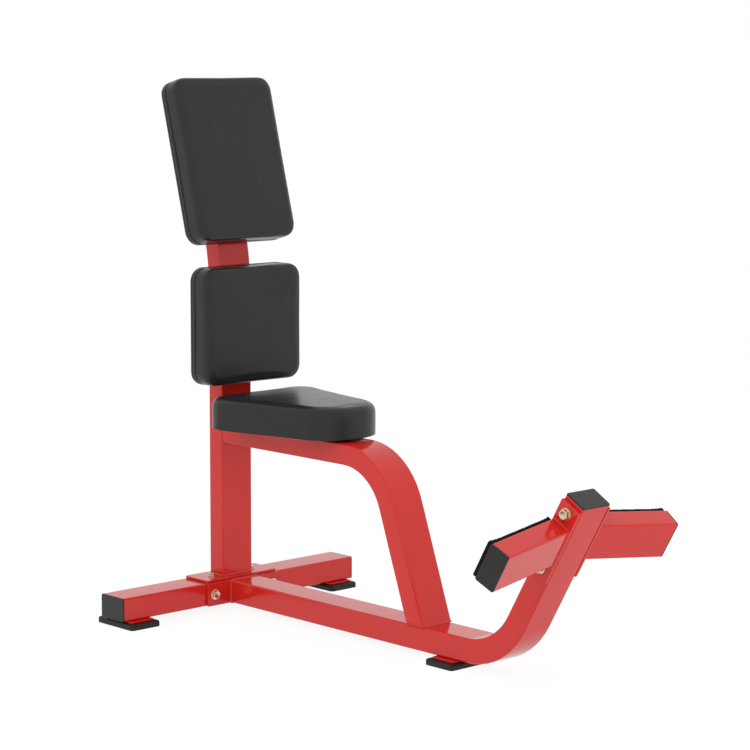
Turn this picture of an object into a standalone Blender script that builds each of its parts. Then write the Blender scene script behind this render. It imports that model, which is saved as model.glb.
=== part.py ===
# Utility bench for seated presses, with a split back rest and a pair of splayed foot pegs.
# Metres, +Z up. The sitter faces -Y and +X is the sitter's left.
# The origin lies on the floor under the middle of the overall width and length.
# Every piece is first laid out from the rear beam's centreline, and one empty then
# carries them all back by REAR_BEAM_Y.

import bmesh
import bpy
from math import asin, atan2, cos, hypot, pi, radians, sin, tan
from mathutils import Matrix, Vector

# Overall
REAR_BEAM_Y = 0.4821          # rear beam's centreline behind the origin
GAP = 0.0003                  # clearance between touching pieces

# Tube stock
BASE_TUBE_WIDTH = 0.075       # flat-laid rectangular tube of the base
BASE_TUBE_DEPTH = 0.050
FRAME_TUBE_WIDTH = 0.0828     # post, seat tube and foot pegs
FRAME_TUBE_DEPTH = 0.0444
TUBE_CORNER = 0.004
TUBE_WALL = 0.0025
BEND_STEP = radians(6)        # facet of a bend

# End caps
CAP_FLANGE = 0.003
CAP_EDGE = 0.0008
CAP_SKIRT = 0.014             # how far the plug reaches into the tube
CAP_SKIRT_WALL = 0.0025
CAP_RIB = 0.0005              # height of the ribs that grip the bore
CAP_FIRST_RIB = 0.005
CAP_SECOND_RIB = 0.011

# Feet
FOOT_LENGTH = 0.1211
FOOT_WIDTH = 0.0765
FOOT_HEIGHT = 0.0127
FOOT_CORNER = 0.008
FOOT_SHOULDER = 0.004         # rounding of the rubber's upper edge
FOOT_PLATE = 0.0027
FOOT_PLATE_LENGTH = 0.098
FOOT_PLATE_WIDTH = 0.060
FOOT_PLATE_CORNER = 0.006
FOOT_SINK_RADIUS = 0.0105     # recess for the screw's head in the rubber's underside
FOOT_SINK_DEPTH = 0.0065
FOOT_SCREW_LENGTH = 0.0195
FOOT_SCREW_BORE = 0.0385      # from as far below the floor as the recess is deep
REAR_FOOT_X = 0.2797
FRONT_FOOT_Y = -0.7065

# Base
BASE_BOTTOM = FOOT_HEIGHT + FOOT_PLATE + 2 * GAP
BASE_MIDDLE = BASE_BOTTOM + BASE_TUBE_DEPTH / 2
BASE_TOP = BASE_BOTTOM + BASE_TUBE_DEPTH
REAR_BEAM_LENGTH = 0.6464     # over the end caps
BEAM_BEND_START_Y = -0.7608   # where the base beam starts to rise
BEAM_BEND_RADIUS = 0.1531
BEAM_BEND_ANGLE = radians(60)
UPRIGHT_LENGTH = 0.2986       # straight part of the footrest upright, cap included

JOINT_PLATE = 0.006           # upright plate on the base beam's rear end
JOINT_PLATE_WIDTH = 0.200
JOINT_PLATE_CORNER = 0.003
JOINT_BOLT_X = 0.0815
JOINT_BOLT_LENGTH = 0.096
POST_PLATE = 0.005            # flat plate under the post
POST_PLATE_LENGTH = 0.196
POST_PLATE_CORNER = 0.004
POST_BOLT_X = 0.0560
POST_BOLT_LENGTH = 0.018
POST_BOLT_BORE = 0.012        # through the plate and the beam's upper wall

# Post and seat tube
POST_CORNER_Z = 0.7554        # where the post's two centrelines would meet
POST_LEAN = radians(15)
POST_BEND_RADIUS = 0.400
POST_TOP = 0.300              # upper end, measured along the leaning part
SEAT_TUBE_TOP = 0.4080
SEAT_BEND_START_Y = -0.4065
SEAT_BEND_RADIUS = 0.1370
SEAT_BEND_ANGLE = radians(70)

# Cushions
BOARD = 0.016                 # backing board of each cushion
BOARD_WRAP = 0.0028           # rounding of the board's covered edges
PAD_TUCK = 0.0045             # depth of the crease between board and cushion
SEAT_TUCK = 0.0012
PAD_ROLL = 0.010              # rounding of a cushion's face edge
SEAT_ROLL = 0.018
PAD_CROWN = 0.003
SEAT_CROWN = 0.0015
SIDE_DRAW = 0.0018            # how far a side pulls in between its corners
PAD_WIDTH = 0.2645
PAD_THICKNESS = 0.0580
PAD_CORNER = 0.0297
LOWER_PAD_BOTTOM = 0.4968
LOWER_PAD_LENGTH = 0.2494
UPPER_PAD_START = 0.0291      # lower edge, measured along the leaning part
UPPER_PAD_LENGTH = 0.3519

SEAT_REAR_Y = -0.0767
SEAT_REAR_HALF_WIDTH = 0.1400
SEAT_REAR_CORNER = 0.0506
SEAT_FRONT_Y = -0.4091
SEAT_FRONT_HALF_WIDTH = 0.0976
SEAT_FRONT_CORNER = 0.0862
SEAT_THICKNESS = 0.0682

# Mounting plates between the tubes and the boards
MOUNT_CORNER = 0.006
SEAT_PLATE = 0.0044
SEAT_PLATE_WIDTH = 0.140
SEAT_PLATE_LENGTH = 0.150
SEAT_PLATE_Y = -0.225         # middle of the plate
SEAT_SCREW_X = 0.055
SEAT_SCREW_Y = 0.058
BACK_PLATE = 0.0060
BACK_PLATE_WIDTH = 0.150
LOWER_PLATE_LENGTH = 0.070
UPPER_PLATE_LENGTH = 0.150
BACK_SCREW_X = 0.060
BACK_SCREW_Y = 0.055
PAD_SCREW_LENGTH = 0.0175
PAD_SCREW_BORE = 0.019        # how deep the screw holes go, past the screws' tips

# Footrest
PEG_PLATE = 0.006
PEG_PLATE_START = 0.010       # upper end, measured down from the upright's cap
PEG_PLATE_LENGTH = 0.168
PEG_PLATE_CORNER = 0.004
PEG_MIDDLE = 0.0964           # peg's centreline, measured down from the upright's cap
PEG_BOLT_MIDDLE = 0.0935      # halfway between the two bolts, measured down from the cap
PEG_BOLT_SPACING = 0.126
PEG_BOLT_LENGTH = 0.104
PEG_LENGTH = 0.1977           # along the centreline, cap included
PEG_SPLAY = radians(10.24)
GRIP_THICKNESS = 0.0085
GRIP_WIDTH = 0.0800
GRIP_START = 0.002            # grip's inner end, measured out from the peg plate
GRIP_CORNER = 0.003
GRIP_EDGE = 0.001

# Fasteners
BOLT_PLAY = 0.0005            # clearance round a through bolt
THROUGH_BORE = 0.130          # longer than any piece that it crosses
FASTENER_SIDES = 12
M12 = {"shank": 0.006, "flats": 0.0095, "head": 0.008, "washer": 0.0125, "washer_height": 0.0025}
M10 = {"shank": 0.005, "flats": 0.0085, "head": 0.0064, "washer": 0.0115, "washer_height": 0.002}
M8 = {"shank": 0.004, "flats": 0.0065, "head": 0.0045, "washer": 0.0085, "washer_height": 0.0012}
FOOT_SCREW = {"shank": 0.004, "flats": 0.0062, "head": 0.0028, "washer": 0.0088, "washer_height": 0.0015}
WELD_NUT = {"shank": 0.004, "flats": 0.0070, "head": 0.0, "washer": 0.0088, "washer_height": 0.0008}

X_AXIS = Vector((1, 0, 0))
Y_AXIS = Vector((0, 1, 0))
Z_AXIS = Vector((0, 0, 1))
SIDES = ((-1, "right"), (1, "left"))


# Scene and materials
def clear_scene():
    for item in list(bpy.data.objects):
        bpy.data.objects.remove(item, do_unlink=True)


def material(name, color, roughness, metallic=0.0):
    made = bpy.data.materials.new(name)
    made.use_nodes = True
    shader = made.node_tree.nodes["Principled BSDF"]
    shader.inputs["Base Color"].default_value = (*color, 1.0)
    shader.inputs["Roughness"].default_value = roughness
    shader.inputs["Metallic"].default_value = metallic
    made.diffuse_color = (*color, 1.0)
    return made


def red_enamel():
    return material("red_enamel", (0.56, 0.035, 0.03), 0.22)


def black_vinyl():
    return material("black_vinyl", (0.035, 0.035, 0.036), 0.48)


def black_plastic():
    return material("black_plastic", (0.03, 0.03, 0.031), 0.5)


def black_rubber():
    return material("black_rubber", (0.02, 0.02, 0.02), 0.75)


def zinc_plate():
    return material("zinc_plate", (0.74, 0.66, 0.5), 0.3, 1.0)


def place(name, mesh_data, matrix, finish, smooth_angle=radians(35)):
    """Names a finished bmesh, puts it at its location and rotation, and hangs it on the empty."""
    bmesh.ops.recalc_face_normals(mesh_data, faces=mesh_data.faces)
    if mesh_data.calc_volume(signed=True) < 0:
        bmesh.ops.reverse_faces(mesh_data, faces=mesh_data.faces)
    mesh = bpy.data.meshes.new(name)
    mesh_data.to_mesh(mesh)
    mesh_data.free()
    mesh.materials.append(finish)
    mesh.shade_smooth()
    mesh.set_sharp_from_angle(angle=smooth_angle)
    piece = bpy.data.objects.new(name, mesh)
    bpy.context.scene.collection.objects.link(piece)
    piece.parent = CARRIER
    piece.location = matrix.to_translation()
    piece.rotation_euler = matrix.to_euler()
    return piece


def at(x, y, z):
    return Matrix.Translation((x, y, z))


def turned_by(angle, axis):
    return Matrix.Rotation(angle, 4, axis)


def pointing(seat, direction):
    """Placement whose own +Z runs from the seat along the direction."""
    return Matrix.Translation(seat) @ direction.to_track_quat("Z", "Y").to_matrix().to_4x4()


# Outlines
def corner_outline(corners, inset=0.0, arc_steps=6, side_steps=1):
    """Closed outline round circles (x, y, radius) in anticlockwise order, drawn in by inset."""
    count = len(corners)
    normals = []
    for index in range(count):
        x0, y0, r0 = corners[index]
        x1, y1, r1 = corners[(index + 1) % count]
        apart = hypot(x1 - x0, y1 - y0)
        heading = atan2(y1 - y0, x1 - x0)
        normals.append(heading - pi / 2 + asin((r0 - r1) / apart))
    points = []
    for index in range(count):
        x0, y0, r0 = corners[index]
        first = normals[index - 1]
        sweep = (normals[index] - first) % (2 * pi)
        for step in range(arc_steps + 1):
            angle = first + sweep * step / arc_steps
            points.append(Vector((x0 + (r0 - inset) * cos(angle), y0 + (r0 - inset) * sin(angle))))
        x1, y1, r1 = corners[(index + 1) % count]
        angle = normals[index]
        start = points[-1]
        end = Vector((x1 + (r1 - inset) * cos(angle), y1 + (r1 - inset) * sin(angle)))
        for step in range(1, side_steps):
            points.append(start.lerp(end, step / side_steps))
    return points


def rectangle_corners(width, height, radius):
    x = width / 2 - radius
    y = height / 2 - radius
    return [(x, y, radius), (-x, y, radius), (-x, -y, radius), (x, -y, radius)]


def seat_corners():
    rear_x = SEAT_REAR_HALF_WIDTH - SEAT_REAR_CORNER
    rear_y = SEAT_REAR_Y - SEAT_REAR_CORNER
    front_x = SEAT_FRONT_HALF_WIDTH - SEAT_FRONT_CORNER
    front_y = SEAT_FRONT_Y + SEAT_FRONT_CORNER
    return [
        (rear_x, rear_y, SEAT_REAR_CORNER),
        (-rear_x, rear_y, SEAT_REAR_CORNER),
        (-front_x, front_y, SEAT_FRONT_CORNER),
        (front_x, front_y, SEAT_FRONT_CORNER),
    ]


# Building blocks
def ring(bm, points):
    """Closed loop of edges through points."""
    corners = [bm.verts.new(point) for point in points]
    count = len(corners)
    return [bm.edges.new((corners[i], corners[(i + 1) % count])) for i in range(count)]


def ring_verts(edges):
    return list({vert for edge in edges for vert in edge.verts})


def edges_among(verts):
    """Edges whose two ends are both among the verts."""
    kept = set(verts)
    return [edge for edge in {e for v in verts for e in v.link_edges} if kept.issuperset(edge.verts)]


def join(bm, lower, upper, axis):
    """Bridges two loops, held apart along the axis meanwhile so that loops in one plane pair up."""
    verts = ring_verts(upper)
    apart = axis * 0.5
    bmesh.ops.translate(bm, verts=verts, vec=apart)
    bmesh.ops.bridge_loops(bm, edges=lower + upper)
    bmesh.ops.translate(bm, verts=verts, vec=-apart)


def loft(bm, outlines, heights):
    """Closed solid through outlines of equal point count, stacked at heights."""
    loops = []
    for outline, height in zip(outlines, heights):
        loops.append(ring(bm, [(point.x, point.y, height) for point in outline]))
    for lower, upper in zip(loops, loops[1:]):
        join(bm, lower, upper, Z_AXIS)
    for end in (loops[0], loops[-1]):
        bmesh.ops.contextual_create(bm, geom=end)


def plate(name, corners, thickness, matrix, finish, edge=0.0006):
    """Flat plate with broken edges, its lower face on the placement's XY plane."""
    bm = bmesh.new()
    outer = corner_outline(corners, arc_steps=3)
    inner = corner_outline(corners, inset=edge, arc_steps=3)
    loft(bm, [inner, outer, outer, inner], [0, edge, thickness - edge, thickness])
    return place(name, bm, matrix, finish)


def section_rings(bm, width, depth, along=0.0):
    """Outer and inner outline of a rectangular tube that runs along +Y, as two loops of edges."""
    outer = corner_outline(rectangle_corners(width, depth, TUBE_CORNER), arc_steps=3)
    inside = TUBE_CORNER - TUBE_WALL
    hollow = rectangle_corners(width - 2 * TUBE_WALL, depth - 2 * TUBE_WALL, inside)
    inner = corner_outline(hollow, arc_steps=3)
    return [ring(bm, [(p.x, along, p.y) for p in outline]) for outline in (outer, inner)]


def pull_out(bm, loop, move):
    """Extrudes one loop of edges, moves each new vertex by move(vertex), and returns the new loop."""
    pulled = bmesh.ops.extrude_edge_only(bm, edges=loop)["geom"]
    verts = [item for item in pulled if isinstance(item, bmesh.types.BMVert)]
    for vert in verts:
        vert.co += move(vert)
    return edges_among(verts)


def swing_round(bm, loop, centre, angle):
    """Spins one loop of edges about an X-wise axis and returns the loop at the far end."""
    steps = max(4, round(abs(angle) / BEND_STEP))
    last = bmesh.ops.spin(
        bm, geom=loop, cent=centre, axis=X_AXIS, angle=angle, steps=steps, use_merge=False
    )["geom_last"]
    return [item for item in last if isinstance(item, bmesh.types.BMEdge)]


def bent_tube(name, width, depth, matrix, stages, floor_cut=None):
    """Rectangular tube from the placement's origin along its +Y. A stage is a length or (radius, angle)."""
    bm = bmesh.new()
    loops = section_rings(bm, width, depth)
    first = list(loops)
    here = Vector((0, 0, 0))
    heading = Y_AXIS.copy()
    for stage in stages:
        if isinstance(stage, tuple):
            radius, angle = stage
            inward = Matrix.Rotation(pi / 2 if angle > 0 else -pi / 2, 3, "X") @ heading
            centre = here + inward * radius
            rotation = Matrix.Rotation(angle, 3, "X")
            here = centre - (rotation @ inward) * radius
            heading = rotation @ heading
            loops = [swing_round(bm, loop, centre, angle) for loop in loops]
        else:
            loops = [pull_out(bm, loop, lambda vert: heading * stage) for loop in loops]
            here = here + heading * stage
    end = matrix @ here
    end_heading = matrix.to_3x3() @ heading
    if floor_cut is not None:
        for vert in {vert for loop in loops for vert in ring_verts(loop)}:
            vert.co += heading * ((floor_cut - (matrix @ vert.co).z) / end_heading.z)
    join(bm, *first, Y_AXIS)
    join(bm, *loops, heading)
    return place(name, bm, matrix, FINISHES["red"]), end, end_heading


def end_cap(name, width, depth, matrix):
    """Plastic tube plug: a flange over the tube's end and a hollow ribbed skirt inside it."""
    bm = bmesh.new()
    slack = TUBE_WALL + GAP
    corner = TUBE_CORNER - slack
    flange = rectangle_corners(width, depth, TUBE_CORNER)
    skirt = rectangle_corners(width - 2 * slack, depth - 2 * slack, corner)
    hollow = 2 * (slack + CAP_SKIRT_WALL)
    wall = rectangle_corners(width - hollow, depth - hollow, corner)
    outer = corner_outline(flange, arc_steps=3)
    eased = corner_outline(flange, inset=CAP_EDGE, arc_steps=3)
    fit = corner_outline(skirt, arc_steps=3)
    waist = corner_outline(skirt, inset=CAP_RIB, arc_steps=3)
    bore = corner_outline(wall, arc_steps=3)
    slope = 2 * CAP_RIB
    profile = [(eased, CAP_FLANGE), (outer, CAP_FLANGE - CAP_EDGE), (outer, 0.0), (waist, 0.0)]
    for rib in (CAP_FIRST_RIB, CAP_SECOND_RIB):
        profile += [(waist, slope - rib), (fit, -rib), (waist, -rib - slope)]
    profile += [(waist, -CAP_SKIRT), (bore, -CAP_SKIRT), (bore, -slope)]
    loft(bm, [outline for outline, _ in profile], [height for _, height in profile])
    return place(name, bm, matrix, FINISHES["plastic"])


# Fasteners
def hexagon(flats):
    """Distance from the centre to a hexagon's side, by angle."""
    return lambda angle: flats / cos((angle + pi / 6) % (pi / 3) - pi / 6)


def circle(radius):
    return lambda angle: radius


def profile_rings(bm, profile):
    """One loop for each (height, reach) step, where reach gives a radius by angle."""
    angles = [2 * pi * index / FASTENER_SIDES for index in range(FASTENER_SIDES)]
    return [
        ring(bm, [(reach(angle) * cos(angle), reach(angle) * sin(angle), height) for angle in angles])
        for height, reach in profile
    ]


def hex_bolt(name, size, length, seat, direction):
    """Hexagon bolt with its washer. seat is where the washer bears, direction points to the tip."""
    base = size["washer_height"]
    top = base + size["head"]
    chamfer = size["head"] * 0.12
    profile = [
        (-length, circle(size["shank"] * 0.86)),
        (-length + size["shank"] * 0.2, circle(size["shank"])),
        (0.0, circle(size["shank"])),
        (0.0, circle(size["washer"])),
        (base, circle(size["washer"])),
        (base, hexagon(size["flats"])),
        (top - chamfer, hexagon(size["flats"])),
        (top, circle(size["flats"] * 0.96)),
    ]
    bm = bmesh.new()
    loops = profile_rings(bm, profile)
    for lower, upper in zip(loops, loops[1:]):
        join(bm, lower, upper, Z_AXIS)
    for end in (loops[0], loops[-1]):
        bmesh.ops.contextual_create(bm, geom=end)
    return place(name, bm, pointing(seat, -direction), FINISHES["zinc"], radians(30))


def hex_nut(name, size, seat, direction):
    """Hexagon nut with its washer, bored for the bolt. direction points away from the seat."""
    base = size["washer_height"]
    height = base + size["shank"] * 1.6
    bore = size["shank"] + GAP
    profile = [
        (0.0, circle(bore)), (0.0, circle(size["washer"])), (base, circle(size["washer"])),
        (base, hexagon(size["flats"])), (height, hexagon(size["flats"])), (height, circle(bore)),
    ]
    bm = bmesh.new()
    loops = profile_rings(bm, profile)
    for lower, upper in zip(loops, loops[1:] + loops[:1]):
        join(bm, lower, upper, Z_AXIS)
    return place(name, bm, pointing(seat, direction), FINISHES["zinc"], radians(30))


def drill(name, holes, targets):
    """Bores each (start, direction, radius, length) through every target."""
    bm = bmesh.new()
    for start, direction, radius, length in holes:
        bmesh.ops.create_cone(
            bm, cap_ends=True, segments=16, radius1=radius, radius2=radius, depth=length,
            matrix=pointing(start + direction * length / 2, direction)
        )
    cutter = place(name, bm, Matrix.Identity(4), FINISHES["zinc"])
    cutter.hide_render = True
    cutter.display_type = "WIRE"
    for target in targets:
        cut = target.modifiers.new(name, "BOOLEAN")
        cut.operation = "DIFFERENCE"
        cut.solver = "EXACT"
        cut.object = cutter


# Base
def rear_beam():
    length = REAR_BEAM_LENGTH - 2 * (CAP_FLANGE + GAP)
    lengthwise = at(-length / 2, 0, BASE_MIDDLE) @ turned_by(-pi / 2, "Z")
    beam, _, _ = bent_tube("rear_cross_beam", BASE_TUBE_WIDTH, BASE_TUBE_DEPTH, lengthwise, [length])
    for side, word in SIDES:
        seat = at(side * (length / 2 + GAP), 0, BASE_MIDDLE)
        turn = turned_by(side * pi / 2, "Y") @ turned_by(pi / 2, "Z")
        end_cap(f"rear_beam_cap_{word}", BASE_TUBE_WIDTH, BASE_TUBE_DEPTH, seat @ turn)
    return beam


def foot(word, centre, quarter_turn, beam):
    """Rubber foot under a welded steel plate, held by one screw from below."""
    seat = Matrix.Translation(centre) @ turned_by(pi / 2 if quarter_turn else 0.0, "Z")
    bm = bmesh.new()
    corners = rectangle_corners(FOOT_WIDTH, FOOT_LENGTH, FOOT_CORNER)
    soft = FOOT_SHOULDER
    sole = 0.2 * soft
    levels = [
        (0.0, sole), (sole, 0.0), (FOOT_HEIGHT - soft, 0.0),
        (FOOT_HEIGHT - 0.3 * soft, 0.3 * soft), (FOOT_HEIGHT, soft),
    ]
    outlines = [corner_outline(corners, inset, arc_steps=4) for _, inset in levels]
    loft(bm, outlines, [height for height, _ in levels])
    rubber = place(f"rubber_foot_{word}", bm, seat, FINISHES["rubber"])
    steel_outline = rectangle_corners(FOOT_PLATE_WIDTH, FOOT_PLATE_LENGTH, FOOT_PLATE_CORNER)
    lifted = seat @ at(0, 0, FOOT_HEIGHT + GAP)
    steel = plate(f"foot_plate_{word}", steel_outline, FOOT_PLATE, lifted, FINISHES["red"])
    below = centre - Z_AXIS * FOOT_SINK_DEPTH
    bore = (below, Z_AXIS, FOOT_SCREW["shank"] + GAP, FOOT_SCREW_BORE)
    drill(f"foot_screw_drill_{word}", [bore], [rubber, steel, beam])
    drill(f"foot_sink_drill_{word}", [(below, Z_AXIS, FOOT_SINK_RADIUS, 2 * FOOT_SINK_DEPTH)], [rubber])
    bearing = centre + Z_AXIS * (FOOT_SINK_DEPTH - GAP)
    hex_bolt(f"foot_screw_{word}", FOOT_SCREW, FOOT_SCREW_LENGTH, bearing, Z_AXIS)


def base_beam():
    """One bent tube: the long base beam and the footrest's leaning upright."""
    start_y = -BASE_TUBE_WIDTH / 2 - JOINT_PLATE - 2 * GAP
    forwards = at(0, start_y, BASE_MIDDLE) @ turned_by(pi, "X")
    run = start_y - BEAM_BEND_START_Y
    rise = UPRIGHT_LENGTH - CAP_FLANGE - GAP
    stages = [run, (BEAM_BEND_RADIUS, -BEAM_BEND_ANGLE), rise]
    return bent_tube("base_beam", BASE_TUBE_WIDTH, BASE_TUBE_DEPTH, forwards, stages)


def beam_joint(beam):
    """Upright plate of the base beam, bolted through the rear beam."""
    near_face = -BASE_TUBE_WIDTH / 2 - GAP
    standing = at(0, near_face, BASE_MIDDLE) @ turned_by(pi / 2, "X")
    corners = rectangle_corners(JOINT_PLATE_WIDTH, BASE_TUBE_DEPTH, JOINT_PLATE_CORNER)
    steel = plate("beam_joint_plate", corners, JOINT_PLATE, standing, FINISHES["red"])
    holes = []
    for side, word in SIDES:
        middle = Vector((side * JOINT_BOLT_X, 0, BASE_MIDDLE))
        holes.append((middle - Y_AXIS * THROUGH_BORE / 2, Y_AXIS, M10["shank"] + BOLT_PLAY, THROUGH_BORE))
        front = middle + Y_AXIS * (near_face - JOINT_PLATE - GAP)
        hex_bolt(f"joint_bolt_{word}", M10, JOINT_BOLT_LENGTH, front, Y_AXIS)
        hex_nut(f"joint_nut_{word}", M10, middle - Y_AXIS * near_face, Y_AXIS)
    drill("joint_bolt_drill", holes, [steel, beam])


def post_joint(beam):
    """Flat plate under the post, bolted down into weld nuts inside the rear beam."""
    corners = rectangle_corners(POST_PLATE_LENGTH, BASE_TUBE_WIDTH, POST_PLATE_CORNER)
    steel = plate("post_foot_plate", corners, POST_PLATE, at(0, 0, BASE_TOP + GAP), FINISHES["red"])
    top = BASE_TOP + POST_PLATE + 2 * GAP
    inner_face = BASE_TOP - TUBE_WALL - GAP
    holes = []
    for side, word in SIDES:
        here = Vector((side * POST_BOLT_X, 0, top))
        holes.append((here + Z_AXIS * GAP, -Z_AXIS, M8["shank"] + BOLT_PLAY, POST_BOLT_BORE))
        hex_bolt(f"post_bolt_{word}", M8, POST_BOLT_LENGTH, here, -Z_AXIS)
        hex_nut(f"weld_nut_{word}", WELD_NUT, Vector((side * POST_BOLT_X, 0, inner_face)), -Z_AXIS)
    drill("post_bolt_drill", holes, [steel, beam])


# Post and seat tube
def post():
    foot_z = BASE_TOP + POST_PLATE + 2 * GAP
    upwards = at(0, 0, foot_z) @ turned_by(pi / 2, "X")
    tangent = POST_BEND_RADIUS * tan(POST_LEAN / 2)
    stages = [POST_CORNER_Z - tangent - foot_z, (POST_BEND_RADIUS, -POST_LEAN), POST_TOP - tangent]
    _, end, heading = bent_tube("back_post", FRAME_TUBE_WIDTH, FRAME_TUBE_DEPTH, upwards, stages)
    seat = Matrix.Translation(end + heading * GAP) @ turned_by(-POST_LEAN, "X")
    end_cap("back_post_cap", FRAME_TUBE_WIDTH, FRAME_TUBE_DEPTH, seat)


def seat_tube():
    """Bent tube that carries the seat and comes down on the base beam."""
    start_y = -FRAME_TUBE_DEPTH / 2 - GAP
    start_z = SEAT_TUBE_TOP - FRAME_TUBE_DEPTH / 2
    forwards = at(0, start_y, start_z) @ turned_by(pi, "X")
    bend_end = start_z - SEAT_BEND_RADIUS * (1 - cos(SEAT_BEND_ANGLE))
    drop = (bend_end - BASE_TOP - GAP) / sin(SEAT_BEND_ANGLE)
    stages = [start_y - SEAT_BEND_START_Y, (SEAT_BEND_RADIUS, SEAT_BEND_ANGLE), drop]
    bent_tube("seat_tube", FRAME_TUBE_WIDTH, FRAME_TUBE_DEPTH, forwards, stages, BASE_TOP + GAP)


# Cushions
def board(name, corners, matrix):
    """Upholstered backing board with softly wrapped edges."""
    bm = bmesh.new()
    wrap = BOARD_WRAP
    levels = [
        (0.0, wrap), (0.3 * wrap, 0.3 * wrap), (wrap, 0.0),
        (BOARD - wrap, 0.0), (BOARD - 0.3 * wrap, 0.3 * wrap), (BOARD, wrap),
    ]
    outlines = [corner_outline(corners, inset, arc_steps=8, side_steps=2) for _, inset in levels]
    loft(bm, outlines, [height for height, _ in levels])
    return place(name, bm, matrix, FINISHES["vinyl"])


def side_pull(point, corners, middle):
    """1 halfway along a side of the outline and 0 at its corners."""
    nearest = min(hypot(point.x - x, point.y - y) - r for x, y, r in corners)
    span = max(hypot(x - middle.x, y - middle.y) for x, y, _ in corners)
    return 2.2 * max(0.0, nearest + 0.001) / span


def cushion(name, corners, height, matrix, roll, crown, tuck):
    """Foam cushion with a tucked seam, drawn-in sides, a rolled edge and a crowned face."""
    bm = bmesh.new()
    middle = sum((Vector((x, y)) for x, y, _ in corners), Vector((0, 0))) / len(corners)
    reach = max(hypot(x - middle.x, y - middle.y) + r for x, y, r in corners)
    shoulder = height - crown - roll
    levels = [(0.0, tuck), (0.0012, 0.5 * tuck), (0.0045, 0.13 * tuck)]
    levels += [(0.35 * shoulder + 0.004, 0.0), (shoulder, 0.0)]
    for step in range(1, 5):
        angle = step * pi / 8
        levels.append((shoulder + roll * sin(angle), roll * (1 - cos(angle))))
    outlines = []
    heights = []
    for level, inset in levels:
        pull = SIDE_DRAW / reach * sin(pi * min(1.0, level / (height - crown)))
        outline = corner_outline(corners, inset, arc_steps=8, side_steps=6)
        outlines.append([
            point - (point - middle) * pull * side_pull(point, corners, middle) for point in outline
        ])
        heights.append(level)
    face = outlines[-1]
    for shrink in (0.85, 0.62, 0.36):
        outlines.append([middle + (point - middle) * shrink for point in face])
        heights.append(height - crown * (shrink * 1.08) ** 2)
    loft(bm, outlines, heights)
    return place(name, bm, matrix, FINISHES["vinyl"], radians(60))


def mounted_pad(word, corners, thickness, face, plate_form, screws, cushion_form):
    """Steel plate, backing board, cushion and screws. face is the carrying tube's face."""
    width, length, centre_y, height = plate_form
    outline = rectangle_corners(width, length, MOUNT_CORNER)
    steel = plate(f"{word}_plate", outline, height, face @ at(0, centre_y, GAP), FINISHES["red"])
    on_board = face @ at(0, 0, height + 2 * GAP)
    back = board(f"{word}_board", corners, on_board)
    on_cushion = on_board @ at(0, 0, BOARD + GAP)
    cushion(f"{word}_cushion", corners, thickness - BOARD - GAP, on_cushion, **cushion_form)
    inward = (face.to_3x3() @ Z_AXIS).normalized()
    holes = []
    for index, (x, y) in enumerate(screws, 1):
        seat = face @ Vector((x, y, 0))
        holes.append((seat, inward, M8["shank"] + GAP, PAD_SCREW_BORE))
        hex_bolt(f"{word}_screw_{index}", M8, PAD_SCREW_LENGTH, seat, inward)
    drill(f"{word}_drill", holes, [steel, back])


def back_pads():
    front = FRAME_TUBE_DEPTH / 2
    standing = turned_by(pi / 2, "X")
    form = {"roll": PAD_ROLL, "crown": PAD_CROWN, "tuck": PAD_TUCK}
    lower_face = at(0, -front, LOWER_PAD_BOTTOM + LOWER_PAD_LENGTH / 2) @ standing
    mounted_pad(
        "lower_pad", rectangle_corners(PAD_WIDTH, LOWER_PAD_LENGTH, PAD_CORNER), PAD_THICKNESS,
        lower_face, (BACK_PLATE_WIDTH, LOWER_PLATE_LENGTH, 0.0, BACK_PLATE),
        [(-BACK_SCREW_X, 0.0), (BACK_SCREW_X, 0.0)], form
    )
    leaning = at(0, 0, POST_CORNER_Z) @ turned_by(-POST_LEAN, "X")
    upper_face = leaning @ at(0, -front, UPPER_PAD_START + UPPER_PAD_LENGTH / 2) @ standing
    mounted_pad(
        "upper_pad", rectangle_corners(PAD_WIDTH, UPPER_PAD_LENGTH, PAD_CORNER), PAD_THICKNESS,
        upper_face, (BACK_PLATE_WIDTH, UPPER_PLATE_LENGTH, 0.0, BACK_PLATE),
        [(x, y) for y in (-BACK_SCREW_Y, BACK_SCREW_Y) for x in (-BACK_SCREW_X, BACK_SCREW_X)], form
    )


def seat():
    rows = (SEAT_PLATE_Y - SEAT_SCREW_Y, SEAT_PLATE_Y + SEAT_SCREW_Y)
    mounted_pad(
        "seat", seat_corners(), SEAT_THICKNESS, at(0, 0, SEAT_TUBE_TOP),
        (SEAT_PLATE_WIDTH, SEAT_PLATE_LENGTH, SEAT_PLATE_Y, SEAT_PLATE),
        [(x, y) for y in rows for x in (-SEAT_SCREW_X, SEAT_SCREW_X)],
        {"roll": SEAT_ROLL, "crown": SEAT_CROWN, "tuck": SEAT_TUCK}
    )


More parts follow.
